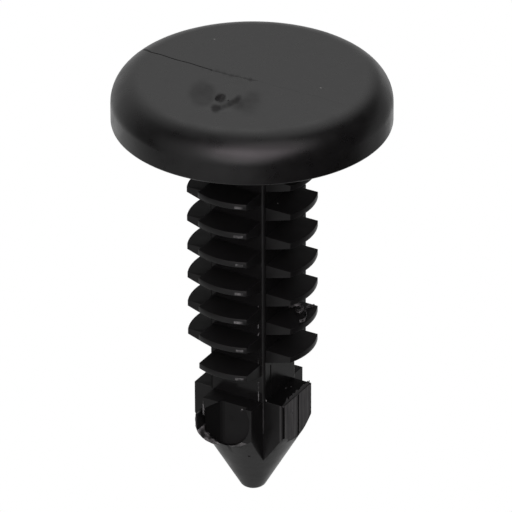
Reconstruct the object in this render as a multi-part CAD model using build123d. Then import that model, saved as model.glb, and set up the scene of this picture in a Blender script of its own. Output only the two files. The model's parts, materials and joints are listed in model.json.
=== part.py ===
from build123d import *
import os
from math import floor, radians, sqrt, tan

# One-piece moulded push rivet (fir-tree panel fastener), millimetres.
# The part stands on the flat face of its head at Z = 0 and its nose points up +Z.
# Long barb rows lie on +Y and -Y, short rows on +X and -X, half a pitch apart.

# Head
head_diameter = 20.0
head_thickness = 3.5
head_edge_radius = 2.05      # rounded outer edge of the flat face
head_lip_radius = 0.15       # small break at the seating edge
seat_width = 1.7             # flat ring under the head that bears on the panel
relief_depth = 0.45          # dished relief inside the seating ring
gate_offset = 3.97           # centre of the gate dimple from the axis, on +Y
gate_dimple_diameter = 4.4
gate_dimple_depth = 0.06

# Post, the square spine that carries the barbs
post_width = 4.5
post_corner_radius = 0.25

# Barbs
barb_diameter = 9.38
barb_width = 3.96
barb_rim = 0.44              # thickness at the outer edge
barb_slope = 19.0            # degrees, ramp on the nose side
barb_pitch = 2.32
barb_stagger = 1.235         # short rows sit this much nearer to the nose
grip_gap = 2.05              # from the seating ring to the first barb
nose_gap = 2.9               # least room from a barb's flat face to the tip shelf

# Tip
shank_length = 21.44         # from the seating ring to the flat shelf of the tip
tip_diameter = 8.44          # across opposite corners of the cross
tip_arm_width = 4.02
tip_wall = 2.54              # straight corners below the shelf, down to the cone
tip_half_angle = 29.6        # degrees
nose_radius = 0.795          # flat end of the nose before its edge is rounded off
nose_edge_radius = 0.45

# Ejector pad sunk into the +Y arm of the tip
pad_diameter = 4.52
pad_floor = 3.42             # flat floor of the pad, from the axis
pad_drop = 1.2               # pad centre, measured from the shelf towards the nose
pad_offset = 0.4             # pad centre lies this far off the arm's middle, towards -X
pad_chord = 1.16             # from the pad's centre to the corner of wall left beside it
pad_chord_side = 54.0        # degrees from -X towards the shelf, where that corner is
pad_lip_width = 0.16
pad_lip_root = 2.5           # where the lip starts beside the arm, from the axis
pad_lip_reach = 4.25         # crest of the pushed-up lip, from the axis
pad_lip_side = 48.0          # degrees from -X towards the nose, where the lip is highest
pad_lip_fall = 58.0          # degrees, the crest slopes down to the floor

# Heights and radii that follow from the sizes above
seat_height = head_thickness
shelf_height = seat_height + shank_length
wall_end = shelf_height + tip_wall
head_radius = head_diameter / 2
barb_radius = barb_diameter / 2
tip_radius = tip_diameter / 2
slope = tan(radians(barb_slope))
cone_slope = tan(radians(tip_half_angle))
arm_reach = sqrt(tip_radius ** 2 - (tip_arm_width / 2) ** 2)
nose_height = wall_end + (tip_radius - nose_radius) / cone_slope
axis_sketch = Plane.XZ


def revolved(points):
    """A solid of revolution about Z from (radius, height) points."""
    return revolve(axis_sketch * make_face(Polyline(*points, close=True)), Axis.Z)


def block(length_x, length_y, low, high):
    """A centred block between two heights."""
    return Pos(0, 0, low) * extrude(Rectangle(length_x, length_y), high - low)


def make_head():
    seat_inner = head_radius - seat_width
    disc = Cylinder(head_radius, head_thickness, align=(Align.CENTER, Align.CENTER, Align.MIN))
    disc = fillet(disc.edges().sort_by(Axis.Z)[0], head_edge_radius)
    disc = fillet(disc.edges().sort_by(Axis.Z)[-1], head_lip_radius)
    relief = revolved([
        (0, seat_height - relief_depth),
        (seat_inner - relief_depth, seat_height - relief_depth),
        (seat_inner, seat_height),
        (0, seat_height),
    ])
    dimple_sphere = (gate_dimple_diameter ** 2 / 4 + gate_dimple_depth ** 2) / (2 * gate_dimple_depth)
    dimple = Pos(0, gate_offset, gate_dimple_depth - dimple_sphere) * Sphere(dimple_sphere)
    return disc - relief - dimple


def make_post():
    foot = seat_height - relief_depth
    outline = RectangleRounded(post_width, post_width, post_corner_radius)
    return Pos(0, 0, foot) * extrude(outline, shelf_height - foot)


def barb_row(first, along_x):
    """Equal barbs on both sides of the post, one pair at each level."""
    count = floor((shelf_height - nose_gap - first) / barb_pitch) + 1
    ramp = slope * barb_radius
    wedge = revolved([
        (0, 0),
        (barb_radius, 0),
        (barb_radius, barb_rim),
        (0, barb_rim + ramp),
    ])
    pair = wedge & block(barb_diameter, barb_width, 0, barb_rim + ramp)
    if not along_x:
        pair = Rot(0, 0, 90) * pair
    return [Pos(0, 0, first + level * barb_pitch) * pair for level in range(count)]


def make_tip():
    """A cross with flat outer walls, turned to a blunt cone."""
    spear = revolved([
        (0, shelf_height),
        (tip_radius + tip_wall * cone_slope, shelf_height),
        (nose_radius, nose_height),
        (0, nose_height),
    ])
    spear = fillet(spear.edges().sort_by(Axis.Z)[-1], nose_edge_radius)
    cross = block(2 * arm_reach, tip_arm_width, shelf_height, nose_height)
    cross += block(tip_arm_width, 2 * arm_reach, shelf_height, nose_height)
    return spear & cross


def pad_plane(reach):
    """A plane square to +Y, centred on the pad, with its own X along -X and Y along Z."""
    centre = (-pad_offset, reach, shelf_height + pad_drop)
    return Plane(origin=centre, x_dir=(-1, 0, 0), z_dir=(0, 1, 0))


def pad_disc(outline, low, high):
    """A disc or part of one on the pad's centre line, between two distances from the axis."""
    return extrude(pad_plane(low) * outline, high - low)


def add_pad(body):
    pad_radius = pad_diameter / 2
    lip_radius = pad_radius + pad_lip_width
    lip = pad_disc(Circle(lip_radius), pad_lip_root, pad_lip_reach)
    # A slanted cut leaves the lip tall on one side and gone on the other.
    high_edge = Rot(0, 0, pad_lip_side) * Pos(lip_radius, 0, 0) * Rot(0, -pad_lip_fall, 0)
    above = Box(8 * lip_radius, 8 * lip_radius, 4 * lip_radius, align=(Align.CENTER, Align.CENTER, Align.MIN))
    lip -= pad_plane(pad_lip_reach) * high_edge * above
    lip &= block(4 * lip_radius, 4 * pad_lip_reach, shelf_height, nose_height)
    kept = Pos(pad_chord - pad_diameter, 0) * Rectangle(2 * pad_diameter, 2 * pad_diameter)
    recess = Circle(pad_radius) & Rot(0, 0, -pad_chord_side) * kept
    return body + lip - pad_disc(recess, pad_floor, 2 * pad_lip_reach)


long_rows = barb_row(seat_height + grip_gap, along_x=False)
short_rows = barb_row(seat_height + grip_gap + barb_stagger, along_x=True)
rivet = make_post() + make_head()
for barbs in long_rows + short_rows:
    rivet += barbs
rivet = add_pad(rivet + make_tip())

os.makedirs("parts", exist_ok=True)
export_step(rivet, "parts/push_rivet.step")
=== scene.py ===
"""Looks of a moulded push rivet: its finished body, its plastic, the stage and the camera.

Meshes are built in millimetres and turned to metres as each piece is finished. The rivet
stands on the flat face of its head at Z = 0 and its nose points up +Z.
"""

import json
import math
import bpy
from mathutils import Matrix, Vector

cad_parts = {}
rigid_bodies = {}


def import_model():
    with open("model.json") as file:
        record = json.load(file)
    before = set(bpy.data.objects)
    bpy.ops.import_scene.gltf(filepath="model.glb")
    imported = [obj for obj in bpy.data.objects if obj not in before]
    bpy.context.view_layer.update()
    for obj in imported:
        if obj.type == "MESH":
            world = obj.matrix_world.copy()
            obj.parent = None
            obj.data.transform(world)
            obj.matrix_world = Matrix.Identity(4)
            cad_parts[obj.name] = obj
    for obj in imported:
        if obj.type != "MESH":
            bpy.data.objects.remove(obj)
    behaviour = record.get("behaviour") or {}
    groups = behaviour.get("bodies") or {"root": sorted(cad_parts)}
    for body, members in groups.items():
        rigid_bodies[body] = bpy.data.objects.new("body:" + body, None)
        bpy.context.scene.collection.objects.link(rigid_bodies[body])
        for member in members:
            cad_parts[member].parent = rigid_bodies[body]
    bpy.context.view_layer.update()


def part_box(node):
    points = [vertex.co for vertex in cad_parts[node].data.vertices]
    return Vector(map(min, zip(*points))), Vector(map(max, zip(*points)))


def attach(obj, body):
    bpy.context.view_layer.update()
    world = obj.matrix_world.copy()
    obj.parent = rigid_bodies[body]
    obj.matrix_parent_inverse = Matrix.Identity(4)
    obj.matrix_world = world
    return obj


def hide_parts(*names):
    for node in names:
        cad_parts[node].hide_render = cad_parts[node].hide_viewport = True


bl_info = {
    "name": "Push Rivet",
    "version": (1, 0, 0),
    "blender": (4, 5, 0),
    "location": "View3D > Sidebar > Push Rivet",
    "description": "Builds a moulded push rivet with staggered barbs and its studio stage",
    "category": "Add Mesh",
}

from types import SimpleNamespace

import bmesh
import bpy
from bpy.props import FloatProperty, FloatVectorProperty, IntProperty, PointerProperty
from bpy.types import Operator, Panel, PropertyGroup
from mathutils import Matrix, Vector, noise

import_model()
node_low, node_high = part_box("push_rivet")

MM = 0.001                       # metres in a millimetre
AXIS = Vector((0, 0, 1))
ORIGIN = Vector((0, 0, 0))
FULL_TURN = 2 * math.pi
OUTER_EDGE = math.radians(35)    # least turn at an edge that is softened
NOISE_SEED = 1795464204          # any number fixes the ragged edges; unset, the clock draws them

noise.seed_set(NOISE_SEED)


# ---------------------------------------------------------------- sizes and colours

def length(name, description, millimetres):
    """A property that holds a length."""
    return FloatProperty(name=name, description=description, default=millimetres * MM,
                         unit="LENGTH")


def angle(name, description, degrees):
    """A property that holds an angle."""
    return FloatProperty(name=name, description=description, default=math.radians(degrees),
                         subtype="ANGLE")


def grey(name, description, level):
    """A property that holds a colour, grey to start with."""
    return FloatVectorProperty(name=name, description=description, default=(level,) * 3,
                               subtype="COLOR", size=3, min=0.0, max=1.0)


class RivetSizes(PropertyGroup):
    head_diameter: FloatProperty(
        name="Head diameter", description="Across the round head",
        default=node_high.x - node_low.x, unit="LENGTH")
    head_thickness: length("Head thickness", "From the flat face to the seating ring", 3.5)
    head_edge_radius: length(
        "Head edge radius", "Rounding between the flat face and the wall", 2.05)
    head_lip_radius: length("Head lip radius", "Small break at the seating edge", 0.15)
    seat_width: length("Seat width", "Flat ring under the head that bears on the panel", 1.7)
    relief_depth: length("Relief depth", "Depth of the dished relief inside the seating ring", 0.45)
    post_width: length("Post width", "Across the square post", 4.5)
    post_corner_radius: length("Post corner radius", "Rounding of the post's four corners", 0.20)
    barb_diameter: length("Barb diameter", "Across two opposite barbs", 9.38)
    barb_width: length("Barb width", "Width of each barb along the post's face", 3.96)
    barb_rim: length("Barb rim", "Thickness of a barb at its outer edge", 0.44)
    barb_slope: angle("Barb slope", "Angle of the ramp on the nose side", 19.0)
    barb_pitch: length("Barb pitch", "From one barb to the next in a row", 2.32)
    barb_stagger: length("Barb stagger", "How much nearer to the nose the short rows sit", 1.235)
    grip_gap: length("Grip gap", "From the seating ring to the first barb", 2.05)
    shank_length: length("Shank length", "From the seating ring to the shelf of the tip", 21.44)
    tip_diameter: length("Tip diameter", "Across opposite corners of the cross-shaped tip", 8.44)
    tip_arm_width: length("Tip arm width", "Width of each arm of the cross", 4.02)
    tip_wall: length("Tip wall", "Straight wall between the shelf and the cone", 2.54)
    nose_radius: length("Nose radius", "Flat end of the nose before its edge is rounded", 0.795)
    nose_edge_radius: length("Nose edge radius", "Rounding round the end of the nose", 0.45)
    barb_edge_radius: length("Barb edge radius", "Softening of the barbs' edges", 0.09)
    tip_edge_radius: length(
        "Tip edge radius", "Softening of the edges of the cross-shaped tip", 0.13)
    pad_diameter: length("Pad diameter", "Across the ejector pad sunk in one arm of the tip", 4.52)
    pad_floor: length("Pad floor", "From the axis to the flat floor of the pad", 3.42)
    pad_drop: length("Pad drop", "From the shelf to the pad's centre, towards the nose", 1.2)
    pad_offset: length("Pad offset", "How far the pad's centre lies off the arm's middle", 0.4)
    pad_chord: length(
        "Pad chord", "From the pad's centre to the corner of wall left beside it", 1.16)
    pad_chord_side: angle("Pad chord side", "Angle from -X towards the shelf of that corner", 54.0)
    parting_offset: length(
        "Parting offset", "From the middle of an arm to its fine upright line", -0.12)
    lip_height: length("Lip height", "Height of the pushed-up lip over the floor of the pad", 0.74)
    gate_offset: length("Gate offset", "From the head's centre to the middle of the gate", 3.97)
    gate_dent_diameter: length("Gate dent diameter", "Across the shallow dent round the gate", 4.7)
    gate_dent_depth: length("Gate dent depth", "Depth of the shallow dent round the gate", 0.07)
    flow_line_depth: length(
        "Flow line depth", "Depth of the fine line where two flows of plastic met", 0.05)
    barb_pairs_long: IntProperty(
        name="Barbs in a long row", description="Barbs on each of the +Y and -Y faces",
        default=8, min=1)
    barb_pairs_short: IntProperty(
        name="Barbs in a short row", description="Barbs on each of the +X and -X faces",
        default=7, min=1)
    round_steps: IntProperty(
        name="Round steps", description="Segments round a full turn",
        default=160, min=16)


class RivetFinish(PropertyGroup):
    plastic_color: grey("Plastic", "Colour of the black nylon", 0.0083)
    plastic_roughness: FloatProperty(
        name="Roughness", description="Mean roughness of the moulded surface",
        default=0.30, subtype="FACTOR", min=0.0, max=1.0)
    underside_roughness: FloatProperty(
        name="Underside roughness", description="Roughness of the barbs' flat sides and the shelf",
        default=0.62, subtype="FACTOR", min=0.0, max=1.0)
    # Pale grey: partly the own tone of walls rubbed along the mould, partly painted sheen for the
    # light they reflect.
    scuff_and_sheen_color: grey(
        "Scuffed plastic", "Colour of the walls that the mould dragged along", 0.065)
    # Pale grey: partly the torn plastic's own tone, partly painted sheen on the lip's lit inner side
    # and on the flash.
    torn_and_sheen_color: grey("Torn plastic", "Paler colour of stretched and torn plastic", 0.10)


class RivetStage(PropertyGroup):
    view_azimuth: angle("View azimuth", "Where the camera stands round the rivet", 149.8)
    view_elevation: angle(
        "View elevation", "Height of the camera; below zero it looks up at the head", -28.829)
    view_distance: length("View distance", "From the camera to the point it aims at", 454.5)
    view_turn: angle("View turn", "Turn of the picture about the line of sight", 179.82)
    aim_height: length("Aim height", "Height on the rivet's axis that the camera aims at", 14.484)
    aim_right: length("Aim right", "Sideways shift of the aim in the picture", 0.2496)
    aim_up: length("Aim up", "Upward shift of the aim in the picture", -0.0429)
    lens: FloatProperty(
        name="Lens", description="Focal length in millimetres",
        default=446.9, min=1.0)
    floor_color: grey("Floor", "Colour of the plain floor", 0.80)


def in_millimetres(group):
    """The group's values as plain numbers, with its lengths in millimetres."""
    values = SimpleNamespace()
    for name, prop in group.bl_rna.properties.items():
        if name in {"rna_type", "name"}:
            continue
        value = getattr(group, name)
        setattr(values, name, value / MM if prop.unit == "LENGTH" else value)
    return values


def rivet_values(context):
    """Driving sizes in millimetres, with the heights and radii that follow from them."""
    v = in_millimetres(context.scene.rivet_sizes)
    v.head_radius = v.head_diameter / 2
    v.barb_radius = v.barb_diameter / 2
    v.tip_radius = v.tip_diameter / 2
    v.pad_radius = v.pad_diameter / 2
    v.shelf_height = v.head_thickness + v.shank_length
    v.wall_end = v.shelf_height + v.tip_wall
    v.arm_reach = math.sqrt(v.tip_radius ** 2 - (v.tip_arm_width / 2) ** 2)
    v.nose_height = node_high.z / MM
    return v


# ---------------------------------------------------------------- mesh helpers

def spun(outline, steps):
    """A closed solid of revolution about Z from (radius, height) points."""
    bm = bmesh.new()
    verts = [bm.verts.new((radius, 0, height)) for radius, height in outline]
    edges = [bm.edges.new(pair) for pair in zip(verts, verts[1:])]
    bmesh.ops.spin(bm, geom=verts + edges, cent=ORIGIN, axis=AXIS, angle=FULL_TURN,
                   steps=steps, use_merge=True)
    bmesh.ops.remove_doubles(bm, verts=bm.verts, dist=1e-5)
    bmesh.ops.recalc_face_normals(bm, faces=bm.faces)
    return bm


def moved(bm, vec):
    """The whole mesh, moved."""
    bmesh.ops.translate(bm, vec=vec, verts=bm.verts)
    return bm


def scaled(bm, vec):
    """The whole mesh, scaled about the origin."""
    bmesh.ops.scale(bm, vec=vec, verts=bm.verts)
    return bm


def block(low, high):
    """A box between two corners."""
    low, high = Vector(low), Vector(high)
    bm = bmesh.new()
    bmesh.ops.create_cube(bm, size=1.0)
    return moved(scaled(bm, high - low), (low + high) / 2)


def ball(place, radius, subdivisions=2):
    """A small faceted ball."""
    bm = bmesh.new()
    bmesh.ops.create_icosphere(bm, subdivisions=subdivisions, radius=radius)
    return moved(bm, place)


def rod(radius, start, end, steps):
    """A closed cylinder between two points."""
    start, end = Vector(start), Vector(end)
    bm = bmesh.new()
    bmesh.ops.create_cone(bm, cap_ends=True, segments=steps, radius1=radius, radius2=radius,
                          depth=(end - start).length)
    turn = AXIS.rotation_difference(end - start).to_matrix().to_4x4()
    bmesh.ops.transform(bm, matrix=Matrix.Translation((start + end) / 2) @ turn, verts=bm.verts)
    return bm


def swept(section, path):
    """A closed bar that carries a flat section along a run of points."""
    bm = bmesh.new()
    start = Vector(path[0])
    face = bm.faces.new([bm.verts.new(start + Vector(point)) for point in section])
    for step, (here, there) in enumerate(zip(path, path[1:])):
        made = bmesh.ops.extrude_face_region(bm, geom=[face])["geom"]
        end = next(g for g in made if isinstance(g, bmesh.types.BMFace))
        bmesh.ops.translate(bm, vec=Vector(there) - Vector(here), verts=end.verts)
        if step:
            bmesh.ops.delete(bm, geom=[face], context="FACES_ONLY")
        face = end
    bmesh.ops.recalc_face_normals(bm, faces=bm.faces)
    return bm


def ruffled(bm, amount, pitch):
    """Moves each vertex a little by a smooth, repeatable noise."""
    for vert in bm.verts:
        vert.co += noise.noise_vector(vert.co / pitch) * amount
    return bm


def gathered(parts):
    """Several meshes as one, each still closed by itself."""
    whole = bmesh.new()
    for bm in parts:
        mesh = bpy.data.meshes.new("part")
        bm.to_mesh(mesh)
        bm.free()
        whole.from_mesh(mesh)
        bpy.data.meshes.remove(mesh)
    return whole


def soften(bm, edges, offset, segments):
    """Rounds the given edges."""
    bmesh.ops.bevel(bm, geom=edges, offset=offset, offset_type="OFFSET", segments=segments,
                    profile=0.5, affect="EDGES", clamp_overlap=True, material=-1)


def outer_edges(bm):
    """Edges that stand out sharply; inner corners are left out."""
    bmesh.ops.recalc_face_normals(bm, faces=bm.faces)
    return [e for e in bm.edges if e.is_manifold and e.calc_face_angle_signed() > OUTER_EDGE]


def cut(bm, point, outward):
    """Takes away what lies beyond a plane and closes the cut."""
    made = bmesh.ops.bisect_plane(bm, geom=bm.verts[:] + bm.edges[:] + bm.faces[:], dist=1e-6,
                                  plane_co=point, plane_no=outward, clear_outer=True)
    rim = [g for g in made["geom_cut"] if isinstance(g, bmesh.types.BMEdge)]
    bmesh.ops.contextual_create(bm, geom=rim)
    bmesh.ops.recalc_face_normals(bm, faces=bm.faces)


def placed(bm, name):
    """A new object in the scene that holds the mesh."""
    mesh = bpy.data.meshes.new(name)
    bm.to_mesh(mesh)
    bm.free()
    obj = bpy.data.objects.new(name, mesh)
    bpy.context.scene.collection.objects.link(obj)
    return obj


def combined(base, others, operation):
    """The base mesh joined with or cut by the others, as a new bmesh."""
    target = placed(base, "target")
    tools = bpy.data.collections.new("tools")
    bpy.context.scene.collection.children.link(tools)
    for index, other in enumerate(others):
        tool = placed(other, f"tool_{index}")
        bpy.context.scene.collection.objects.unlink(tool)
        tools.objects.link(tool)
    modifier = target.modifiers.new("combine", "BOOLEAN")
    modifier.operation = operation
    modifier.solver = "EXACT"
    modifier.operand_type = "COLLECTION"
    modifier.collection = tools
    bpy.context.view_layer.update()
    shaped = target.evaluated_get(bpy.context.evaluated_depsgraph_get())
    result = bmesh.new()
    result.from_mesh(shaped.to_mesh())
    shaped.to_mesh_clear()
    for obj in list(tools.objects) + [target]:
        bpy.data.objects.remove(obj)
    bpy.data.collections.remove(tools)
    bmesh.ops.remove_doubles(result, verts=result.verts, dist=1e-4)
    return result


def finished(bm, name, materials, choose, sharp_angle=math.radians(40)):
    """Turns a millimetre mesh into a shown piece, smooth but for its sharp edges."""
    bm.normal_update()
    for face in bm.faces:
        face.material_index = choose(face)
    obj = placed(scaled(bm, (MM, MM, MM)), name)
    obj.data.shade_smooth()
    obj.data.set_sharp_from_angle(angle=sharp_angle)
    for material in materials:
        obj.data.materials.append(material)
    weighted = obj.modifiers.new("even_shading", "WEIGHTED_NORMAL")
    weighted.keep_sharp = True
    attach(obj, "root")
    return obj


# ---------------------------------------------------------------- the head

CLEAR = 0.1                      # how far cutters stand out of what they cut

# Run of the flow line across the head: X and Y.
FLOW_LINE = ((-8.95, 0.0), (-8.0, 0.48), (-7.2, 0.45), (-5.9, 0.59), (-4.7, 0.57), (-3.8, 0.66),
             (-2.7, 0.72), (-2.0, 0.66), (-1.2, 0.73), (-0.6, 0.58), (0.2, 0.62), (0.75, 0.54))
DEEP_LINE = ((-2.9, 0.72), (-2.0, 0.68), (-1.2, 0.73), (-0.6, 0.60), (0.2, 0.62), (0.7, 0.55))
FAINT_LINE = ((0.7, 0.54), (1.6, 0.64), (2.9, 0.58), (4.3, 0.61), (5.6, 0.55), (6.7, 0.62),
              (7.7, 0.68))
# Its parts with their half widths, and their depths as shares of the flow line's.
FLOW_PARTS = ((FLOW_LINE, 0.05, 1.0), (DEEP_LINE, 0.12, 1.3), (FAINT_LINE, 0.04, 1 / 3))

CRATER = (-0.26, 3.95)           # middle of the crater in the gate: X and Y
CRATER_SQUEEZE = 0.55            # its width to its length
CRATER_RADIUS = 0.6              # half its length, inside the rolled rim
CRATER_RIM = 0.05                # depth at which the bowl meets that rim
CRATER_DEPTH = 0.24              # of the bowl, under the rim
NUB_RADIUS = 0.22                # of the broken stub of the gate, before it is stretched
NUB_STRETCH = (0.9, 1.2, 1.0)
NUB_PLACE = (0.36, 0.12)         # its X, and its Y from the middle of the gate


def flow_line_cutter(v, run, half_width, depth):
    """A knife-shaped bar, edge inwards, that follows the head's surface along the line."""
    flat_radius = v.head_radius - v.head_edge_radius
    path = []
    for x, y in run:
        beyond = max(0.0, math.hypot(x, y) - flat_radius)
        rise = v.head_edge_radius - math.sqrt(v.head_edge_radius ** 2 - beyond ** 2)
        path.append((x, y, rise))
    back = half_width * 3
    bm = swept([(0, -back, -2 * depth), (0, back, -2 * depth), (0, 0, depth)], path)
    bmesh.ops.triangulate(bm, faces=bm.faces)
    return bm


def gate_dent_cutter(v):
    """The shallow dent round the gate."""
    radius = v.gate_dent_diameter / 2
    bowl = [(radius * step / 8, v.gate_dent_depth * (1 - (step / 8) ** 2)) for step in range(9)]
    return moved(spun(bowl + [(radius, -CLEAR), (0, -CLEAR)], 64), (0, v.gate_offset, 0))


def crater_cutter():
    """The small oval crater that the broken gate left, with its rolled rim."""
    bowl = [(CRATER_RADIUS * step / 6, CRATER_RIM + CRATER_DEPTH * math.cos(math.pi / 2 * step / 6))
            for step in range(7)]
    crater = spun(bowl + [(0.75, 0.02), (0.9, -CLEAR), (0, -CLEAR)], 40)
    return moved(scaled(crater, (CRATER_SQUEEZE, 1.0, 1.0)), (*CRATER, 0))


def gate_nub(v):
    """The broken stub of the gate, leaning in its crater."""
    bm = ruffled(scaled(ball(ORIGIN, NUB_RADIUS, 3), NUB_STRETCH), 0.07, 0.2)
    lowest = min(vert.co.z for vert in bm.verts)
    x, y = NUB_PLACE
    return moved(bm, (x, v.gate_offset + y, 0.01 - lowest))


def head_mesh(v):
    bm = bmesh.new()
    bmesh.ops.create_cone(bm, cap_ends=True, segments=v.round_steps, radius1=v.head_radius,
                          radius2=v.head_radius, depth=v.head_thickness)
    moved(bm, (0, 0, v.head_thickness / 2))
    low = [e for e in bm.edges if all(w.co.z < 1e-4 for w in e.verts)]
    soften(bm, low, v.head_edge_radius, 14)
    high = [e for e in bm.edges if all(w.co.z > v.head_thickness - 1e-4 for w in e.verts)]
    soften(bm, high, v.head_lip_radius, 3)
    seat = max(bm.faces, key=lambda f: f.calc_center_median().z)
    for width in (v.seat_width - v.head_lip_radius, v.relief_depth):
        bmesh.ops.inset_region(bm, faces=[seat], thickness=width, depth=0.0, use_even_offset=True)
    bmesh.ops.translate(bm, vec=(0, 0, -v.relief_depth), verts=seat.verts)
    cutters = [gate_dent_cutter(v), crater_cutter()]
    for run, half_width, share in FLOW_PARTS:
        cutters.append(flow_line_cutter(v, run, half_width, v.flow_line_depth * share))
    for cutter in cutters:
        bm = combined(bm, [cutter], "DIFFERENCE")
    return combined(bm, [gate_nub(v)], "UNION")


# ---------------------------------------------------------------- the post and its barbs

SUNK = 0.3                       # how far the post reaches into the head
OVERLAP = 0.01                   # and into the tip
POST_LINE = 1.32                 # Y of the fine line beside the post's corner
POST_LINE_START = 22.2           # height where it starts
POST_LINE_SECTION = ((0.05, 0.09, 0), (0.05, -0.09, 0), (-0.10, -0.06, 0), (-0.10, 0.06, 0))


def post_mesh(v):
    """The square post, with the fine line beside one corner above the shelf."""
    half = v.post_width / 2
    foot = v.head_thickness - v.relief_depth - SUNK
    bm = block((-half, -half, foot), (half, half, v.shelf_height + OVERLAP))
    corners = [e for e in bm.edges if abs(e.verts[0].co.z - e.verts[1].co.z) > 1.0]
    soften(bm, corners, v.post_corner_radius, 5)
    line = swept(POST_LINE_SECTION, [(half, POST_LINE, POST_LINE_START),
                                     (half, POST_LINE, v.shelf_height - OVERLAP)])
    return combined(bm, [line], "DIFFERENCE")


def barb_mesh(v, height, along_x):
    """One pair of opposite barbs, its middle hidden in the post."""
    ramp = math.tan(v.barb_slope) * v.barb_radius
    bm = spun([(0, 0), (v.barb_radius, 0), (v.barb_radius, v.barb_rim), (0, v.barb_rim + ramp)],
              v.round_steps)
    for side in (-1, 1):
        cut(bm, Vector((0, side * v.barb_width / 2, 0)), Vector((0, side, 0)))
    soften(bm, outer_edges(bm), v.barb_edge_radius, 3)
    if not along_x:
        quarter = Matrix.Rotation(math.pi / 2, 3, "Z")
        bmesh.ops.rotate(bm, cent=ORIGIN, matrix=quarter, verts=bm.verts)
    return moved(bm, (0, 0, height))


# ---------------------------------------------------------------- the tip

PAD_ARM = Vector((0, 1, 0))      # the way the arm with the pad points
ARMS = (Vector((1, 0, 0)), Vector((-1, 0, 0)), PAD_ARM, Vector((0, -1, 0)))

LINE_OUT = 0.05                  # how far the cutters of the fine lines stand out of a wall
LINE_DEPTH = 0.12                # depth of the parting lines on the arms
LINE_MOUTH, LINE_FLOOR = 0.12, 0.07      # their half widths
LINE_START = 0.2                 # all the lines start this far outside the shelf
LINE_END = 1.0                   # the parting lines run this far down the cone
CORNER_LINE = 0.10               # from the corner of the +X arm to the fine line beside it
CORNER_LINE_SECTION = ((LINE_OUT, 0.13, 0), (LINE_OUT, -0.08, 0), (-0.09, -0.05, 0), (-0.09, 0.13, 0))
CORNER_LINE_END = 0.2            # it runs this far down the cone

PAD_SHADE_STEPS = (-0.75, -0.55, -0.35)         # X of the lines on the pad's floor past which its painted shade grows darker towards -X
PAD_FOOT = 27.75                 # height past which the wall below the pad is dull and pale, partly a painted sheen
PAD_PIT, PAD_PIT_RADIUS = (1.03, 0.043, 25.3), 0.11      # its Y counts from the pad's floor
CONE_PIT, CONE_PIT_RADIUS = (1.35, 2.88, 29.25), 0.10


def pad_cutter(v):
    """The round pad, short of the corner of wall that is left between it and the shelf."""
    centre = Vector((-v.pad_offset, 0, v.shelf_height + v.pad_drop))
    bm = rod(v.pad_radius, centre + Vector((0, v.pad_floor, 0)),
             centre + Vector((0, v.tip_radius + 1, 0)), 64)
    corner = Vector((-math.cos(v.pad_chord_side), 0, -math.sin(v.pad_chord_side)))
    cut(bm, centre + corner * v.pad_chord, corner)
    return bm


def parting_line_cutter(v, outward):
    """A fine upright line of the mould's parting on the outer wall of one arm."""
    along = Vector((-outward.y, outward.x, 0))
    wall = outward * v.arm_reach + along * v.parting_offset
    section = [along * LINE_MOUTH + outward * LINE_OUT, -along * LINE_MOUTH + outward * LINE_OUT,
               -along * LINE_FLOOR - outward * LINE_DEPTH, along * LINE_FLOOR - outward * LINE_DEPTH]
    return swept(section, [wall + AXIS * (v.shelf_height - LINE_START),
                           wall + AXIS * (v.wall_end + LINE_END)])


def corner_line_cutter(v):
    """The fine upright line beside the corner of the +X arm."""
    corner = v.tip_arm_width / 2 - CORNER_LINE
    return swept(CORNER_LINE_SECTION, [(v.arm_reach, corner, v.shelf_height - LINE_START),
                                       (v.arm_reach, corner, v.wall_end + CORNER_LINE_END)])


def tip_cutters(v):
    """The pad, the fine upright lines and two small pits."""
    lines = [parting_line_cutter(v, arm) for arm in ARMS if arm != PAD_ARM]
    x, above_floor, z = PAD_PIT
    return [pad_cutter(v), *lines, corner_line_cutter(v),
            ball((x, v.pad_floor + above_floor, z), PAD_PIT_RADIUS), ball(CONE_PIT, CONE_PIT_RADIUS)]


def tip_blank(v):
    """A blunt cone with four flat outer walls."""
    flank = (v.tip_radius - v.nose_radius) / (v.nose_height - v.wall_end)
    top = v.tip_radius + v.tip_wall * flank
    rings = [(top + (v.nose_radius - top) * step / 10,
              v.shelf_height + (v.nose_height - v.shelf_height) * step / 10) for step in range(11)]
    bm = spun([(0, v.shelf_height), *rings, (0, v.nose_height)], v.round_steps)
    nose = [e for e in bm.edges
            if all(w.co.z > v.nose_height - 1e-4 and w.co.xy.length > 1e-3 for w in e.verts)]
    soften(bm, nose, v.nose_edge_radius * flank ** 0.5, 6)
    for outward in ARMS:
        cut(bm, outward * v.arm_reach, outward)
    return bm


def tip_mesh(v):
    """A cross with flat outer walls, turned to a blunt cone."""
    arm, far = v.tip_arm_width / 2, 2 * v.tip_radius
    notches = []
    for sx in (-1, 1):
        for sy in (-1, 1):
            low = (min(sx * arm, sx * far), min(sy * arm, sy * far), v.shelf_height - 1)
            high = (max(sx * arm, sx * far), max(sy * arm, sy * far), v.nose_height + 1)
            notches.append(block(low, high))
    bm = combined(tip_blank(v), notches, "DIFFERENCE")
    soften(bm, outer_edges(bm), v.tip_edge_radius, 3)
    bm = combined(bm, tip_cutters(v), "DIFFERENCE")
    # Splits the pad's floor where its painted shade steps darker.
    for side in PAD_SHADE_STEPS:
        part_faces(bm, [f for f in bm.faces if on_pad(v, f)], (side, 0, 0), (1, 0, 0))
    front = [f for f in bm.faces
             if f.normal.y > SQUARE_ON and f.calc_center_median().y > v.arm_reach - NEAR]
    part_faces(bm, front, (0, 0, PAD_FOOT), (0, 0, 1))
    return bm


def part_faces(bm, faces, point, outward):
    """Splits the faces along a plane, so that each side can take its own finish."""
    around = list({e for f in faces for e in f.edges}) + list({w for f in faces for w in f.verts})
    bmesh.ops.bisect_plane(bm, geom=faces + around, dist=1e-6, plane_co=point, plane_no=outward)


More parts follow.
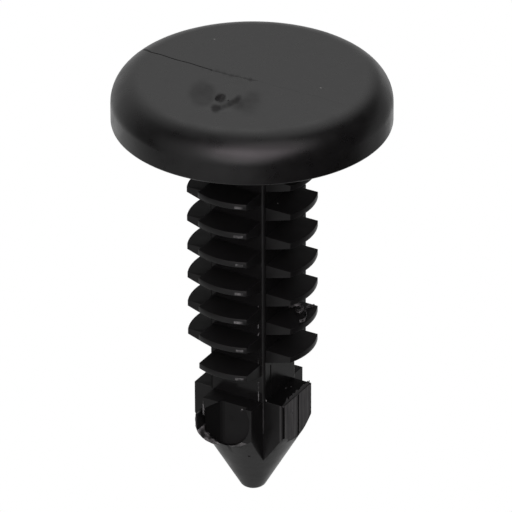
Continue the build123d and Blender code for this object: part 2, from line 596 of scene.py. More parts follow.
def body_mesh(v):
    solids = [head_mesh(v), tip_mesh(v)]
    first = v.head_thickness + v.grip_gap
    for level in range(v.barb_pairs_long):
        solids.append(barb_mesh(v, first + level * v.barb_pitch, along_x=False))
    for level in range(v.barb_pairs_short):
        solids.append(barb_mesh(v, first + v.barb_stagger + level * v.barb_pitch, along_x=True))
    return combined(post_mesh(v), solids, "UNION")


# ---------------------------------------------------------------- where each finish lies

BODY_FINISHES = ("polished", "satin", "underside", "scuff_and_sheen", "pad", "painted_shade", "rubbed", "post",
                 "groove", "highlight_line", "edge", "nose", "half_painted_shade", "faint_painted_shade")
NEAR = 0.02                      # how near a face's middle lies to the plane that it belongs to
SQUARE_ON = 0.98                 # least share of a normal that points straight along an axis


def on_pad(v, face):
    """Whether a face lies in the flat floor of the pad."""
    face.normal_update()
    return face.normal.y > SQUARE_ON and abs(face.calc_center_median().y - v.pad_floor) < NEAR


def in_groove(v, face):
    """Whether a face lies inside one of the fine upright lines."""
    centre = face.calc_center_median()
    if centre.y > abs(centre.x) or abs(face.normal.z) > 0.3:
        return False
    if centre.z < v.shelf_height:
        depth = v.post_width / 2 - centre.x
        return 0.01 < depth < 0.12 and abs(centre.y - POST_LINE) < 0.11
    across, along = max(abs(centre.x), abs(centre.y)), min(abs(centre.x), abs(centre.y))
    if not 0.005 < v.arm_reach - across < LINE_DEPTH + 0.01 or centre.z > v.wall_end + LINE_END:
        return False
    beside = v.tip_arm_width / 2 - centre.y < CORNER_LINE + 0.09
    return abs(along - abs(v.parting_offset)) < LINE_MOUTH + 0.01 or beside


def post_finish(v, centre):
    """The finish of the post's walls and of its rounded corners."""
    corner = v.post_width / 2 - v.post_corner_radius
    if min(abs(centre.x), abs(centre.y)) <= corner:
        return "post"
    # The -X corners take the darker groove finish: painted shade, so that their rounding catches no
    # light.
    return "rubbed" if centre.x > 0 else "groove"


def finish_at(v, face):
    """The name of the finish of one face of the body, by where the face lies."""
    centre, normal = face.calc_center_median(), face.normal
    out = max(abs(centre.x), abs(centre.y))
    half = v.post_width / 2
    if centre.z < v.head_thickness + NEAR:
        return "polished"
    # Faces that look towards the head are painted darker: the +X shelf with the darkest painted shade,
    # the rest slightly.
    if normal.z < -0.8:
        dark = centre.x > half and centre.z > v.shelf_height - NEAR
        return "painted_shade" if dark else "underside"
    # The fine lines take a darker copy of the plastic: painted shade in their hollows.
    if in_groove(v, face):
        return "groove"
    if centre.z < v.shelf_height and out < half + 0.01:
        return post_finish(v, centre)
    # The rounded edge along the shelf takes a much paler copy of the plastic: a painted highlight.
    at_shelf = abs(centre.z - v.shelf_height - v.tip_edge_radius / 2) < v.tip_edge_radius / 2
    if at_shelf and normal.z < -0.1 and centre.y < half + 0.6:
        return "edge"
    if centre.z < v.shelf_height + 0.05:
        return "satin"
    if normal.z > 0.2 and centre.z > v.wall_end:
        return "nose"
    if on_pad(v, face):
        # The pad's floor is painted darker in steps towards -X: painted shade in the recess.
        return ("painted_shade", "half_painted_shade", "faint_painted_shade", "pad")[sum(centre.x > side for side in PAD_SHADE_STEPS)]
    # The outer walls of the arms, and the wall below the pad, take the pale streaked finish, partly
    # painted sheen.
    below_pad = normal.y > 0.9 and centre.z > PAD_FOOT
    if out > v.arm_reach - 0.08 and (below_pad or max(abs(normal.x), -normal.y) > 0.8):
        return "scuff_and_sheen"
    # The +Y side of the +X arm takes a painted highlight line beside its corner.
    return "highlight_line" if normal.y > 0.9 and centre.x > half else "satin"


def body_finish(v):
    """A chooser of the finish for each face of the body."""
    return lambda face: BODY_FINISHES.index(finish_at(v, face))


# ---------------------------------------------------------------- the pad's torn lip

TORN_AND_SHEEN, PLAIN, FIN = 0, 1, 2       # finishes of the lip and the flash, in their materials' order

LIP_FROM = math.radians(192)     # the stretch of the pad's edge that the lip runs along
LIP_TO = math.radians(265)
# Its section: out from the pad's edge, and up in shares of its height where above the floor.
LIP_SECTION = ((0.0, -0.3), (0.02, 0.40), (0.05, 0.85), (0.10, 1.0), (0.17, 0.90), (0.21, 0.45),
               (0.23, -0.85), (0.1, -1.0))
TORN_SHEEN_FROM = 37                   # degrees from -X towards the nose, past which its inside is torn and painted pale, partly as sheen


def lip_mesh(v):
    """The ragged crescent that was pushed up along the low side of the pad."""
    run = LIP_TO - LIP_FROM
    bm = bmesh.new()
    face = bm.faces.new([bm.verts.new((v.pad_radius + out, 0, rise)) for out, rise in LIP_SECTION])
    bmesh.ops.spin(bm, geom=[face] + face.edges[:] + face.verts[:], cent=ORIGIN, axis=AXIS,
                   angle=run, steps=40)
    bmesh.ops.remove_doubles(bm, verts=bm.verts, dist=1e-5)
    bmesh.ops.subdivide_edges(bm, edges=bm.edges, cuts=1, use_grid_fill=True)
    for vert in bm.verts:
        along = min(1.0, max(0.0, math.atan2(vert.co.y, vert.co.x) / run))
        if vert.co.z > 0:
            vert.co.z *= v.lip_height * max(0.0, math.sin(math.pi * along)) ** 0.7
    for vert in bm.verts:
        coarse, fine = noise.noise_vector(vert.co / 0.30), noise.noise_vector(vert.co / 0.11)
        vert.co += coarse * 0.035 + fine * 0.02
    # The local X turns to -X of the rivet, and the local Z to its +Y.
    turned = Matrix(((math.cos(LIP_FROM), -math.sin(LIP_FROM), 0), (0, 0, 1),
                     (-math.sin(LIP_FROM), -math.cos(LIP_FROM), 0)))
    place = Vector((-v.pad_offset, v.pad_floor, v.shelf_height + v.pad_drop))
    bmesh.ops.transform(bm, matrix=Matrix.Translation(place) @ turned.to_4x4(), verts=bm.verts)
    bmesh.ops.recalc_face_normals(bm, faces=bm.faces)
    return bm


def lip_finish(v):
    """A chooser that leaves only the inner side of the lip's lower part torn: pale, partly painted
    sheen where that side faces the light.
    """
    def choose(face):
        centre = face.calc_center_median()
        out = Vector((centre.x + v.pad_offset, 0, centre.z - v.shelf_height - v.pad_drop))
        turn = math.degrees(math.atan2(out.z, -out.x))
        inner = face.normal.dot(out.normalized()) < 0.35
        return TORN_AND_SHEEN if inner and turn > TORN_SHEEN_FROM else PLAIN
    return choose


# ---------------------------------------------------------------- flash

# Strands of the curl torn from one barb: X, Y and the height above the barb's flat side.
CURL_LOOP = ((2.6, -0.64, 0.05), (2.74, -0.83, 0.12), (2.85, -1.07, 0.16), (3.11, -1.19, 0.2),
             (3.44, -1.04, 0.24), (3.75, -0.8, 0.26), (3.74, -0.53, 0.2), (3.58, -0.39, 0.14),
             (3.29, -0.45, 0.06))
CURL_TAIL = ((3.89, -0.71, 0.1), (3.86, -1.03, 0.16), (3.84, -1.36, 0.14), (3.95, -1.59, 0.08),
             (4.06, -1.83, 0.02))
CURL_SIDE = ((4.06, -0.55, 0.14), (4.32, -0.21, 0.16), (4.5, 0.12, 0.14), (4.55, 0.46, 0.10),
             (4.45, 0.63, 0.07), (4.3, 0.74, 0.03))
# The same with their half widths and half heights.
CURL = ((CURL_LOOP, 0.045, 0.13), (CURL_TAIL, 0.045, 0.10), (CURL_SIDE, 0.05, 0.10))
CURL_LEVEL = 5                   # the barb of a short row that it hangs from, counted from 0

# The pale ticks on the rims are painted highlights where the rims catch light.
TICK_SECTION = ((0, -0.06, -0.11), (0, 0.03, -0.09), (0, 0.03, 0.09), (0, -0.06, 0.12))
TICK_END = 1.74                  # X where the ticks on the rims of the +Y barbs end
TICK_SUNK = 0.015                # how far they lie inside the rim
TICK_HEIGHT = 0.62               # and how high on it, as a share of its thickness

RIDGE_LINE = 1.78                # X of the short ridges on the post's +Y face
RIDGES = ((17.02, 17.32), (18.58, 18.85), (19.25, 19.50), (21.30, 22.05), (23.30, 24.90))
# Sections of the ridges, and of the lines in the cross's inner corner and on the pad's arm.
RIDGE_SECTION = ((-0.035, -0.03, 0), (0.035, -0.03, 0), (0.02, 0.035, 0), (-0.02, 0.035, 0))
INNER_SECTION = ((-0.03, -0.03, 0), (0.05, -0.03, 0), (0.03, 0.03, 0), (-0.03, 0.05, 0))
ARM_SECTION = ((-0.06, -0.04, 0), (0.04, -0.04, 0), (0.03, 0.03, 0), (-0.05, 0.03, 0))

# Tiny lumps of flash: their places and radii.
SHELF_NIBS = (((2.22, 1.98, 24.83), 0.10), ((3.66, 1.93, 24.95), 0.09), ((3.45, 0.41, 24.93), 0.06),
              ((2.55, -0.37, 24.92), 0.06), ((2.75, -0.75, 24.92), 0.04))
SIDE_NIBS = (((3.1, 1.75, 8.6), 0.04), ((4.0, 1.2, 25.6), 0.04), ((3.98, 1.25, 25.75), 0.05))
PAD_NIB = (1.09, 25.18)          # one on the pad's floor: X and height
PAD_NIB_RADIUS = 0.07

FIN_INSET = 0.07                 # from the outer wall of the +X arm to the fin on its shelf
FIN_START, FIN_RUN = 1.86, 3.7   # Y where the fin starts, and its length
FIN_SECTION = ((-0.035, 0, 0.12), (0.035, 0, 0.12), (0.03, 0, -1.0), (-0.02, 0, -1.0))


def upright(section, x, y, heights, amount, pitch):
    """A ragged upright bar through the heights."""
    return ruffled(swept(section, [(x, y, height) for height in heights]), amount, pitch)


def strand(points, width, height):
    """A thin ribbon along the points, standing on its edge."""
    thin = width * 0.6
    section = [(-width, -width, -height), (width, width, -height), (thin, thin, height),
               (-thin, -thin, height)]
    bm = swept(section, points)
    bmesh.ops.subdivide_edges(bm, edges=bm.edges, cuts=1, use_grid_fill=True)
    return ruffled(bm, 0.035, 0.18)


def nib(place, radius):
    """A tiny lump of flash."""
    return ruffled(ball(place, radius), radius * 0.5, radius)


def curl(v):
    """The strands of the curl, hanging from one barb of the +X row."""
    height = v.head_thickness + v.grip_gap + v.barb_stagger + CURL_LEVEL * v.barb_pitch
    return [strand([(x, y, height - up) for x, y, up in points], width, tall)
            for points, width, tall in CURL]


def rim_highlight_ticks(v):
    """A pale tick on the rim of each barb of the +Y row, near its +X end: flash in shape, a painted
    highlight where the rim catches light.
    """
    ticks = []
    reach = v.barb_radius - TICK_SUNK
    for level in range(v.barb_pairs_long):
        rim = v.head_thickness + v.grip_gap + level * v.barb_pitch + TICK_HEIGHT * v.barb_rim
        start = 1.25 - 0.07 * (level % 3)
        path = []
        for step in range(6):
            x = start + (TICK_END - start) * step / 5
            path.append((x, math.sqrt(reach ** 2 - x ** 2), rim))
        ticks.append(ruffled(swept(TICK_SECTION, path), 0.02, 0.15))
    return ticks


def burr(v):
    """The thin ragged fin that stands along the shelf's edge on the +X arm."""
    path = [(v.arm_reach - FIN_INSET, FIN_START - FIN_RUN * step / 44, v.shelf_height)
            for step in range(45)]
    bm = swept(FIN_SECTION, path)
    for vert in bm.verts:
        if vert.co.z < v.shelf_height:
            height = 0.30 + 0.22 * noise.noise(Vector((vert.co.y / 0.16, 7.3, 0.5)))
            height *= min(1.0, 0.25 + (1.9 - vert.co.y) / 0.5)
            vert.co.z = v.shelf_height - max(0.03, height)
    return bm


def flash_mesh(v):
    """Flash along the mould's joints: the curl on a barb, pale ticks on the rims as painted
    highlights, ridges and nibs.
    """
    parts = curl(v) + rim_highlight_ticks(v)
    for low, high in RIDGES:
        heights = [low + (high - low) * step / 6 for step in range(7)]
        parts.append(upright(RIDGE_SECTION, RIDGE_LINE, v.post_width / 2, heights, 0.015, 0.2))
    inner = v.tip_arm_width / 2 + 0.01
    heights = [25.05 + 0.2 * step for step in range(14)]
    parts.append(upright(INNER_SECTION, inner, inner, heights, 0.03, 0.13))
    x, y = -v.tip_arm_width / 2 + 0.04, v.arm_reach - 0.01
    heights = [25.2 + 0.13 * step for step in range(10)]
    parts.append(upright(ARM_SECTION, x, y, heights, 0.02, 0.2))
    x, z = PAD_NIB
    lumps = (*SHELF_NIBS, ((x, v.pad_floor, z), PAD_NIB_RADIUS), *SIDE_NIBS)
    parts += [nib(place, radius) for place, radius in lumps]
    parts.append(burr(v))
    whole = gathered(parts)
    bmesh.ops.recalc_face_normals(whole, faces=whole.faces)
    return whole


def flash_finish(v):
    """A chooser that keeps the fin on the shelf and the inner corner's line dark, the rest torn: pale,
    partly painted highlights.
    """
    inner = v.tip_arm_width / 2

    def choose(face):
        centre = face.calc_center_median()
        fin = abs(centre.x - v.arm_reach + FIN_INSET) < 0.06 and abs(centre.z - v.shelf_height) < 0.6
        near = inner - 0.1 < min(centre.x, centre.y) and max(centre.x, centre.y) < inner + 0.2
        return FIN if fin or near and centre.z > v.shelf_height else TORN_AND_SHEEN
    return choose


# ---------------------------------------------------------------- nodes

def feed(made, inputs):
    """Gives a node's inputs, by name or number, their constants or the sockets that feed them."""
    for key, value in inputs.items():
        if isinstance(value, bpy.types.NodeSocket):
            made.id_data.links.new(value, made.inputs[key])
        else:
            made.inputs[key].default_value = value
    return made


def node(tree, kind, inputs=None, **settings):
    """A new node with its settings made and its inputs fed."""
    made = tree.nodes.new(kind)
    for name, value in settings.items():
        setattr(made, name, value)
    return feed(made, inputs or {})


def computed(tree, operation, *values):
    """The result of a Math node on sockets and constants."""
    inputs = dict(enumerate(values))
    return node(tree, "ShaderNodeMath", inputs, operation=operation).outputs["Value"]


def on_vectors(tree, operation, *values, output="Vector"):
    """The result of a Vector Math node on sockets and constants."""
    inputs = dict(enumerate(values))
    return node(tree, "ShaderNodeVectorMath", inputs, operation=operation).outputs[output]


def noise_at(tree, place, scale, detail=2.0, output="Fac"):
    """Noise of so many waves to the metre, at a place."""
    inputs = {"Vector": place, "Scale": scale, "Detail": detail}
    return node(tree, "ShaderNodeTexNoise", inputs).outputs[output]


def ranged(tree, value, start, end, low=0.0, high=1.0, **settings):
    """A value carried over from the range start to end, to the range low to high."""
    inputs = {"Value": value, "From Min": start, "From Max": end, "To Min": low, "To Max": high}
    return node(tree, "ShaderNodeMapRange", inputs, **settings).outputs["Result"]


def between(tree, factor, first, second, **settings):
    """A colour between two."""
    inputs = {"Factor": factor, "A": first, "B": second}
    return node(tree, "ShaderNodeMix", inputs, data_type="RGBA", **settings).outputs["Result"]


def place_on(tree):
    """The place on the object, in metres."""
    return node(tree, "ShaderNodeTexCoord").outputs["Object"]


def shade(color, share=1.0):
    """A share of a colour, with its alpha."""
    return (*(Vector(color) * share), 1.0)


def shader_tree(name):
    """A new material's tree with its surface shader, ready for more nodes."""
    material = bpy.data.materials.new(name)
    material.use_nodes = True
    tree = material.node_tree
    return material, tree, tree.nodes["Principled BSDF"]


def show(tree, shader):
    """Makes a shader the one that the material shows."""
    feed(tree.nodes["Material Output"], {"Surface": shader})


def spot(tree, place, at, inner, outer, amount):
    """A soft round spot about a point, as a socket that holds up to the given amount."""
    reach = on_vectors(tree, "DISTANCE", place, Vector(at) * MM, output="Value")
    return ranged(tree, reach, outer * MM, inner * MM, high=amount,
                  interpolation_type="SMOOTHSTEP")


# ---------------------------------------------------------------- the plastic

MOTTLE_WAVES = 900.0             # waves to the metre of the uneven tone and gloss
GRAIN_WAVES = 2500.0             # the same of the surface's fine grain
GRAIN_STRENGTH = 0.25
STREAK_WAVES = (4200.0, 4200.0, 260.0)       # the same of the scuffs, which run upright
FOLD_WAVES = 2600.0              # the same of the folds in torn plastic


def moulded_nylon(name, color, roughness, shine=0.5, grain_depth=0.02):
    """Moulded plastic with a faint mottle, uneven gloss and fine grain."""
    material, tree, surface = shader_tree(name)
    place = place_on(tree)
    mottle = noise_at(tree, place, MOTTLE_WAVES, 4.0)
    grain = noise_at(tree, place, GRAIN_WAVES, 3.0)
    bump = node(tree, "ShaderNodeBump", {
        "Strength": GRAIN_STRENGTH, "Distance": grain_depth * MM, "Height": grain})
    feed(surface, {
        "Specular IOR Level": shine,
        "Base Color": between(tree, mottle, shade(color, 0.75), shade(color, 1.30), label="Tone"),
        "Roughness": ranged(tree, mottle, 0.3, 0.7, roughness - 0.05, roughness + 0.06, label="Gloss"),
        "Normal": bump.outputs["Normal"],
    })
    return material


def reopened(material):
    """A nylon's tree, surface shader and place, with the sockets of its tone and its roughness."""
    tree = material.node_tree
    surface = tree.nodes["Principled BSDF"]
    tone, rough = (surface.inputs[name].links[0].from_socket for name in ("Base Color", "Roughness"))
    return tree, surface, place_on(tree), tone, rough


# Duller and brighter spots round the gate, laid out along lines that stand 30.2 degrees to the
# rivet's own: across, along (foreshortened), inner and outer radius, and added roughness.
BLUSH_TURN = math.radians(30.2)
BLUSH_SQUEEZE = 0.482
BLUSH = (
    (-3.50, 1.34, 0.62, 1.25, 0.22),
    (-0.25, 1.87, 0.45, 1.40, 0.20),
    (-1.10, 2.15, 0.20, 0.70, 0.12),
    (-2.54, 2.40, 0.12, 0.48, 0.50),
    (-2.11, 2.30, 0.07, 0.40, 0.30),
    (-1.75, 2.15, 0.07, 0.38, 0.30),
    (-1.47, 1.98, 0.07, 0.36, 0.32),
    (-1.14, 1.80, 0.07, 0.36, 0.30),
    (-0.93, 1.58, 0.07, 0.32, 0.25),
    (-2.20, 1.62, 0.15, 0.50, 0.55),
    (-0.75, 0.87, 0.30, 1.10, -0.16),
    (-3.47, -0.52, 0.03, 0.30, 0.12),
    (-2.97, -0.42, 0.03, 0.32, 0.14),
    (-2.47, -0.31, 0.03, 0.32, 0.14),
    (-1.97, -0.14, 0.03, 0.32, 0.12),
    (-1.47, 0.03, 0.03, 0.32, 0.14),
    (-0.97, 0.17, 0.03, 0.32, 0.15),
    (-0.47, 0.29, 0.03, 0.32, 0.20),
    (-0.11, 0.35, 0.03, 0.30, 0.28),
)
BLUSH_SHIFT = (-0.03 * MM, -0.11 * MM, 0.0)
SPECKS = ((-5.14, -3.51, 0.09), (5.15, -0.75, 0.08))     # dust on the head: X, Y and radius
DUST = (0.22, 0.22, 0.21)
WANDER = 0.16                    # how far the spots' edges stray
WANDER_WAVES = 1400.0


def blushed_nylon(name, color, roughness):
    """The head's polished plastic, with the duller blush round the gate and two specks of dust."""
    material = moulded_nylon(name, color, roughness, shine=0.46, grain_depth=0.008)
    tree, surface, place, tone, level = reopened(material)
    wander = noise_at(tree, place, WANDER_WAVES, output="Color")
    strayed = on_vectors(tree, "MULTIPLY_ADD", wander, (WANDER * MM, WANDER * MM, 0.0), place)
    turned = node(tree, "ShaderNodeMapping", {
        "Vector": strayed, "Location": BLUSH_SHIFT, "Rotation": (0.0, 0.0, BLUSH_TURN)})
    squeezed = on_vectors(tree, "MULTIPLY", turned.outputs["Vector"], (1.0, BLUSH_SQUEEZE, 1.0))
    for across, along, inner, outer, amount in BLUSH:
        dulled = spot(tree, squeezed, (across, along, 0), inner, outer, amount)
        level = computed(tree, "ADD", level, dulled)
    for x, y, radius in SPECKS:
        at = (x + WANDER / 2, y + WANDER / 2, 0)
        tone = between(tree, spot(tree, strayed, at, radius * 0.5, radius, 1.0), tone, shade(DUST))
    feed(surface, {"Roughness": level, "Base Color": tone})
    return material


def scuff_and_sheen_nylon(name, color, roughness):
    """Plastic rubbed along the mould: upright streaks of paler and darker tone on a pale base that is
    partly painted sheen.
    """
    material = moulded_nylon(name, color, roughness)
    tree, surface, place, _, _ = reopened(material)
    long_way = node(tree, "ShaderNodeMapping", {"Vector": place, "Scale": STREAK_WAVES})
    streak = ranged(tree, noise_at(tree, long_way.outputs["Vector"], 1.0), 0.35, 0.65)
    feed(surface, {"Base Color": between(tree, streak, shade(color, 0.55), shade(color, 1.5))})
    return material


def torn_and_sheen_nylon(name, color):
    """Stretched, torn plastic: pale and dull, with dark folds; the pale tone is partly painted sheen.
    """
    material = moulded_nylon(name, color, 0.42, grain_depth=0.05)
    tree, surface, place, _, _ = reopened(material)
    fold = ranged(tree, noise_at(tree, place, FOLD_WAVES, 3.0), 0.40, 0.68)
    feed(surface, {"Base Color": between(tree, fold, shade(color, 0.2), shade(color, 2.2))})
    return material


def highlight_line_nylon(name, color, roughness, shine, line, half_width):
    """Plastic with a painted highlight: one fine pale line that runs upright beside a corner."""
    material = moulded_nylon(name, color, roughness, shine)
    tree, surface, place, tone, _ = reopened(material)
    x = node(tree, "ShaderNodeSeparateXYZ", {"Vector": place}).outputs["X"]
    off = computed(tree, "ABSOLUTE", computed(tree, "SUBTRACT", x, line * MM))
    highlight_band = ranged(tree, off, half_width * MM, half_width * 0.4 * MM)
    feed(surface, {"Base Color": between(tree, highlight_band, tone, shade(color, 5))})
    return material


def dished_nylon(name, color, shine, bright):
    """The pad's floor: smooth about one place and duller away from it."""
    material = moulded_nylon(name, color, 0.72, shine)
    tree, surface, place, _, rough = reopened(material)
    smoothed = spot(tree, place, bright, 0.5, 2.2, -0.42)
    feed(surface, {"Roughness": computed(tree, "ADD", rough, smoothed)})
    return material


def body_materials(finish):
    """One material for each of the body's finishes, in their order."""
    color, satin = finish.plastic_color, finish.plastic_roughness + 0.05
    return [
        blushed_nylon("polished_nylon", color, finish.plastic_roughness),
        moulded_nylon("satin_nylon", color, satin, shine=0.35),
        # A slightly darker copy of the plastic: painted shade on the faces that look towards the head.
        moulded_nylon("underside_nylon", Vector(color) * 0.9, finish.underside_roughness, shine=0.10),
        # Pale streaked walls: real streaks on a base that is partly painted sheen.
        scuff_and_sheen_nylon("scuff_and_sheen_nylon", finish.scuff_and_sheen_color, 0.55),
        dished_nylon("pad_nylon", color, shine=0.18, bright=(0.55, 3.42, 25.9)),
        # The darkest copy of the plastic: painted shade on the +X shelf and on the -X end of the pad's
        # floor.
        moulded_nylon("painted_shade_nylon", Vector(color) * 0.45, 0.7, shine=0.05, grain_depth=0.04),
        moulded_nylon("rubbed_nylon", color, 0.35, shine=0.40),
        moulded_nylon("post_nylon", color, 0.18, shine=0.32),
        # A darker copy of the plastic: painted shade in the fine lines and on the post's -X corners.
        moulded_nylon("painted_dark_shade_nylon", Vector(color) * 0.6, 0.7, shine=0.1),
        # Plastic with a painted highlight line beside the corner of the +X arm.
        highlight_line_nylon("highlight_line_nylon", color, satin, shine=0.30, line=3.45, half_width=0.11),
        # A much paler copy of the plastic: a painted highlight on the rounded edge along the shelf.
        moulded_nylon("painted_highlight_edge_nylon", Vector(color) * 6, 0.4),
        moulded_nylon("nose_nylon", color, satin, shine=0.42, grain_depth=0.04),
        # Two lighter steps of the same painted shade on the pad's floor.
        moulded_nylon("half_painted_shade_nylon", Vector(color) * 0.65, 0.65, shine=0.08, grain_depth=0.03),
        moulded_nylon("faint_painted_shade_nylon", Vector(color) * 0.85, 0.55, shine=0.12),
    ]


# ---------------------------------------------------------------- the stage

FLOOR_RADIUS = 0.6               # metres
FLOOR_DROP = 0.02                # the floor lies this far under the head
FLOOR_SEEN = 0.55                # its own brightness where it is looked at
TENT_RADIUS = 0.4                # metres
WORLD_SEEN = 1.0                 # strength of the white behind everything
WORLD_FILL = 0.3                 # strength with which it lights the rivet

# Soft patches on the tent: degrees across and up in the picture, inner and outer
# half-angle, and brightness. A least-squares fit gave the first eight; the last
# three were set one by one.
TENT_BASE = 0.01
TENT_GLOWS = (
    (-160, 9, 2, 74, 0.52),
    (-154, 74, 20, 42, 0.30),
    (160, 61, 2, 38, 0.63),
    (-119, -68, 41, 55, 0.42),
    (133, -15, 29, 38, 0.26),
    (-9, 18, 11, 36, 1.48),
    (13, 42, 17, 39, 1.14),
    (-31, 5, 17, 58, 0.44),
    (-20, 30, 2, 10, 0.9),
    (22, 31, 2, 10, 1.4),
    (157, -43, 4, 26, 0.45),
)
TINT = (1.0, 0.90, 0.95)         # the front patches are slightly tinted
TINT_PLACE = (2, 32)             # degrees across and up in the picture


def toward(azimuth, elevation):
    """The direction that a camera at this place round the rivet is seen in."""
    a, e = math.radians(azimuth), math.radians(elevation)
    return Vector((math.sin(a) * math.cos(e), -math.cos(a) * math.cos(e), math.sin(e)))


def seen_from_camera(stage, across, up):
    """The direction of a place round the rivet, in degrees from the camera.

    Across counts to the right and up counts upwards, both in the picture.
    """
    return toward(math.degrees(stage.view_azimuth) - across, -up)


def middle():
    """The middle of the rivet's height on its axis."""
    return Vector((0, 0, (node_low.z + node_high.z) / 2))


def looked_at(tree):
    """A socket that holds 1 for what the camera sees, also in gloss and through what is clear."""
    path = node(tree, "ShaderNodeLightPath").outputs
    either = computed(tree, "MAXIMUM", path["Is Camera Ray"], path["Is Glossy Ray"])
    return computed(tree, "MAXIMUM", either, path["Is Transmission Ray"])


def floor_material(color):
    """Pale from above, with the rivet's shadow; from below it lets the camera look through."""
    material, tree, surface = shader_tree("pale_floor")
    feed(surface, {"Base Color": shade(color), "Roughness": 0.9, "Specular IOR Level": 0.1})
    strength = computed(tree, "MULTIPLY", looked_at(tree), FLOOR_SEEN)
    pale = node(tree, "ShaderNodeEmission", {"Color": shade(color), "Strength": strength})
    both = node(tree, "ShaderNodeAddShader", {0: surface.outputs["BSDF"], 1: pale.outputs["Emission"]})
    clear = node(tree, "ShaderNodeBsdfTransparent")
    side = node(tree, "ShaderNodeNewGeometry")
    mix = node(tree, "ShaderNodeMixShader", {
        "Fac": side.outputs["Backfacing"], 1: both.outputs["Shader"], 2: clear.outputs["BSDF"]})
    show(tree, mix.outputs["Shader"])
    return material


def make_floor(color):
    bm = bmesh.new()
    bmesh.ops.create_circle(bm, cap_ends=True, segments=96, radius=FLOOR_RADIUS)
    floor = placed(moved(bm, (0, 0, -FLOOR_DROP * MM)), "floor")
    floor.data.materials.append(floor_material(color))
    floor.visible_shadow = False
    floor.visible_diffuse = False
    floor.visible_glossy = False
    floor.visible_transmission = False


def glow(tree, facing, direction, inner, outer, amount):
    """A soft round patch of light on the tent."""
    ahead = on_vectors(tree, "DOT_PRODUCT", facing, direction, output="Value")
    return ranged(tree, ahead, math.cos(math.radians(outer)), math.cos(math.radians(inner)),
                  high=amount, interpolation_type="SMOOTHSTEP")


def tent_material(stage):
    """Light from soft patches all round the rivet, with a slight tint in front."""
    material, tree, surface = shader_tree("light_tent")
    tree.nodes.remove(surface)
    facing = on_vectors(tree, "NORMALIZE", on_vectors(tree, "SUBTRACT", place_on(tree), middle()))
    level = TENT_BASE
    for across, up, inner, outer, amount in TENT_GLOWS:
        patch = glow(tree, facing, seen_from_camera(stage, across, up), inner, outer, amount)
        level = computed(tree, "ADD", level, patch)
    front = seen_from_camera(stage, *TINT_PLACE)
    ahead = on_vectors(tree, "DOT_PRODUCT", facing, front, output="Value")
    share = ranged(tree, ahead, 0.70, 0.95, interpolation_type="SMOOTHSTEP")
    tint = between(tree, share, shade((1, 1, 1)), shade(TINT))
    light = node(tree, "ShaderNodeEmission", {"Color": tint, "Strength": level})
    show(tree, light.outputs["Emission"])
    return material


def make_tent(stage):
    bm = bmesh.new()
    bmesh.ops.create_uvsphere(bm, u_segments=48, v_segments=24, radius=TENT_RADIUS)
    tent = placed(moved(bm, middle()), "light_tent")
    tent.data.materials.append(tent_material(stage))
    tent.visible_camera = False
    tent.visible_shadow = False


def make_world():
    """White where it is seen, also in gloss and through what is clear; dimmer where it lights."""
    world = bpy.data.worlds.new("studio")
    world.use_nodes = True
    tree = world.node_tree
    strength = ranged(tree, looked_at(tree), 0.0, 1.0, WORLD_FILL, WORLD_SEEN)
    feed(tree.nodes["Background"], {"Color": shade((1, 1, 1)), "Strength": strength})
    bpy.context.scene.world = world


def make_camera(stage):
    v = in_millimetres(stage)
    back = toward(math.degrees(v.view_azimuth), math.degrees(v.view_elevation))
    data = bpy.data.cameras.new("camera")
    data.lens = v.lens
    data.sensor_width = 36.0
    data.clip_start = 0.01
    data.clip_end = 10.0
    camera = bpy.data.objects.new("camera", data)
    turn = back.to_track_quat("Z", "Y").to_matrix() @ Matrix.Rotation(v.view_turn, 3, "Z")
    right, up = turn.col[0], turn.col[1]
    aim = Vector((0, 0, v.aim_height)) + right * v.aim_right + up * v.aim_up
    camera.matrix_world = Matrix.Translation((aim + back * v.view_distance) * MM) @ turn.to_4x4()
    bpy.context.scene.collection.objects.link(camera)
    bpy.context.scene.camera = camera


# ---------------------------------------------------------------- operators

class RIVET_OT_body(Operator):
    """Builds the moulded body in place of its plain solid"""
    bl_idname = "rivet.body"
    bl_label = "Moulded body"

    def execute(self, context):
        v = rivet_values(context)
        body = finished(body_mesh(v), "moulded_body", body_materials(context.scene.rivet_finish),
                        body_finish(v))
        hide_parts("push_rivet")
        return {"FINISHED"}


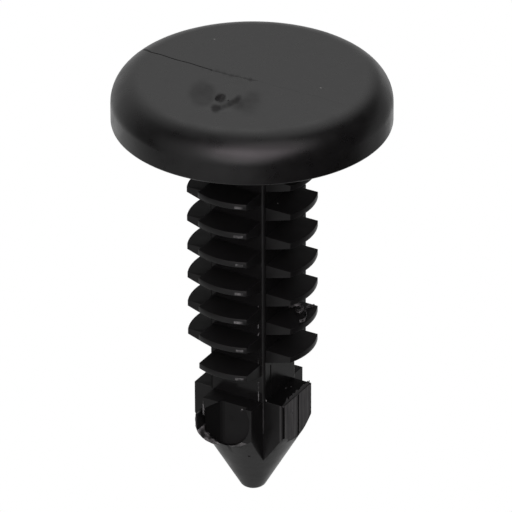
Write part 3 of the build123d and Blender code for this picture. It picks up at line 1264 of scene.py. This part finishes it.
class RIVET_OT_torn(Operator):
    """Adds the pad's ragged lip and the flash left along the mould's joints"""
    bl_idname = "rivet.torn"
    bl_label = "Lip and flash"

    def execute(self, context):
        v = rivet_values(context)
        # The pale torn plastic, partly painted sheen.
        torn = torn_and_sheen_nylon("torn_and_sheen_nylon", context.scene.rivet_finish.torn_and_sheen_color)
        color = context.scene.rivet_finish.plastic_color
        plain = moulded_nylon("lip_nylon", color, 0.35, shine=0.3)
        fin = moulded_nylon("fin_nylon", Vector(color) * 4, 0.5, shine=0.3)
        for name, bm, choose in (("pad_lip", lip_mesh(v), lip_finish(v)),
                                 ("mould_flash", flash_mesh(v), flash_finish(v))):
            piece = finished(bm, name, [torn, plain, fin], choose, sharp_angle=math.radians(60))
            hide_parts("push_rivet")
        return {"FINISHED"}


class RIVET_OT_stage(Operator):
    """Sets up the world, the floor, the light tent and the camera"""
    bl_idname = "rivet.stage"
    bl_label = "Stage and camera"

    def execute(self, context):
        stage = context.scene.rivet_stage
        context.scene.view_settings.view_transform = "Standard"
        make_world()
        make_floor(stage.floor_color)
        make_tent(stage)
        make_camera(stage)
        return {"FINISHED"}


class RIVET_PT_panel(Panel):
    bl_label = "Push Rivet"
    bl_idname = "RIVET_PT_panel"
    bl_space_type = "VIEW_3D"
    bl_region_type = "UI"
    bl_category = "Push Rivet"

    def draw(self, context):
        for group in (context.scene.rivet_sizes, context.scene.rivet_finish,
                      context.scene.rivet_stage):
            box = self.layout.box()
            for name in group.__annotations__:
                box.prop(group, name)
        for operator in STEPS:
            self.layout.operator(operator.bl_idname)


STEPS = (RIVET_OT_stage, RIVET_OT_body, RIVET_OT_torn)
GROUPS = {"rivet_sizes": RivetSizes, "rivet_finish": RivetFinish, "rivet_stage": RivetStage}


def register():
    for cls in (*GROUPS.values(), *STEPS, RIVET_PT_panel):
        bpy.utils.register_class(cls)
    for name, group in GROUPS.items():
        setattr(bpy.types.Scene, name, PointerProperty(type=group))


def unregister():
    for name in GROUPS:
        delattr(bpy.types.Scene, name)
    for cls in reversed((*GROUPS.values(), *STEPS, RIVET_PT_panel)):
        bpy.utils.unregister_class(cls)


def main():
    register()
    bpy.ops.rivet.stage()
    bpy.ops.rivet.body()
    bpy.ops.rivet.torn()


if __name__ == "__main__":
    main()
